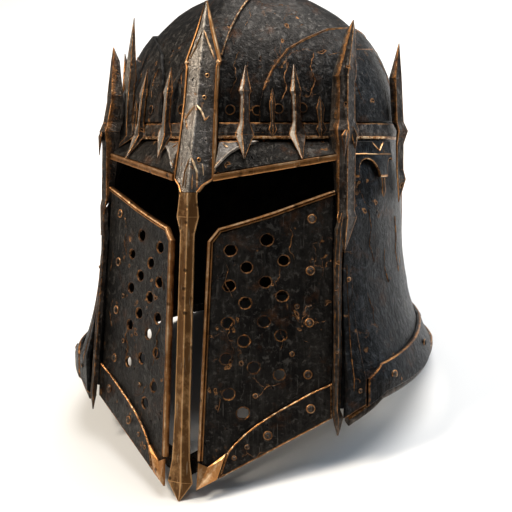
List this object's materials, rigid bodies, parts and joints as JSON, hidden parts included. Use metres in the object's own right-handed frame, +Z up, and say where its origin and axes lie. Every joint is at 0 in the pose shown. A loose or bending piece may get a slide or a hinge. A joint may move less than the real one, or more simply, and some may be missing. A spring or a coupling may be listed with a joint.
{
  "type": "crowned great helm",
  "caption": "Closed battle helm of riveted dark steel plates with a spiked circlet, keeled front blade, nasal bar, perforated cheeks and a flared neck skirt.",
  "frame": {"origin": "centre of the bounding box on the floor that the helm rests on", "axes": "+Z up from the floor, -Y the way the face looks, +X the wearer's left seen from the front as the viewer's right; the helm leans back 24 degrees as it rests"},
  "size_m": [0.2738, 0.3244, 0.2919],
  "materials": {
    "skull": "blackened hammered steel, pitted, with bare scratches",
    "plate": "blackened hammered steel, pitted, with rust-brown veins",
    "skirt": "blackened steel, brushed downwards, worn at the hem",
    "crown": "dark forged steel with worn copper-brown edges",
    "blade": "dark forged steel, polished along the keel",
    "copper": "worn copper-bronze with dark grime"
  },
  "bodies": {
    "root": {"skull_shell": "skull", "skull_comb": "skull", "skull_petal_right": "skull", "skull_petal_left": "skull", "crown_band": "crown", "band_gusset_right": "crown", "band_gusset_left": "crown", "spike_inner_right": "crown", "spike_inner_left": "crown", "spike_middle_right": "crown", "spike_middle_left": "crown", "spike_tall_left": "crown", "spike_slim_right": "crown", "leaf_stud_right": "crown", "leaf_stud_left": "crown", "temple_pilaster_right": "crown", "temple_pilaster_left": "crown", "ear_pilaster_right": "crown", "ear_pilaster_left": "crown", "brow_plate_right": "plate", "brow_plate_left": "plate", "cheek_plate_right": "plate", "cheek_plate_left": "plate", "cheek_hem_right": "plate", "cheek_hem_left": "plate", "chin_tie": "plate", "neck_skirt": "skirt", "hem_roll": "skirt", "skirt_band": "skirt", "guard_edge_right": "skirt", "guard_edge_left": "skirt", "guard_strip_right": "skirt", "guard_strip_left": "skirt", "ear_plate_right": "skirt", "ear_plate_left": "skirt", "ear_drop_right": "skirt", "ear_drop_left": "skirt", "front_blade": "blade", "brow_trim_right": "copper", "brow_trim_left": "copper", "nasal_bar": "copper", "cheek_rim_right": "copper", "cheek_rim_left": "copper", "chin_point_right": "copper", "chin_point_left": "copper"}
  },
  "joints": []
}
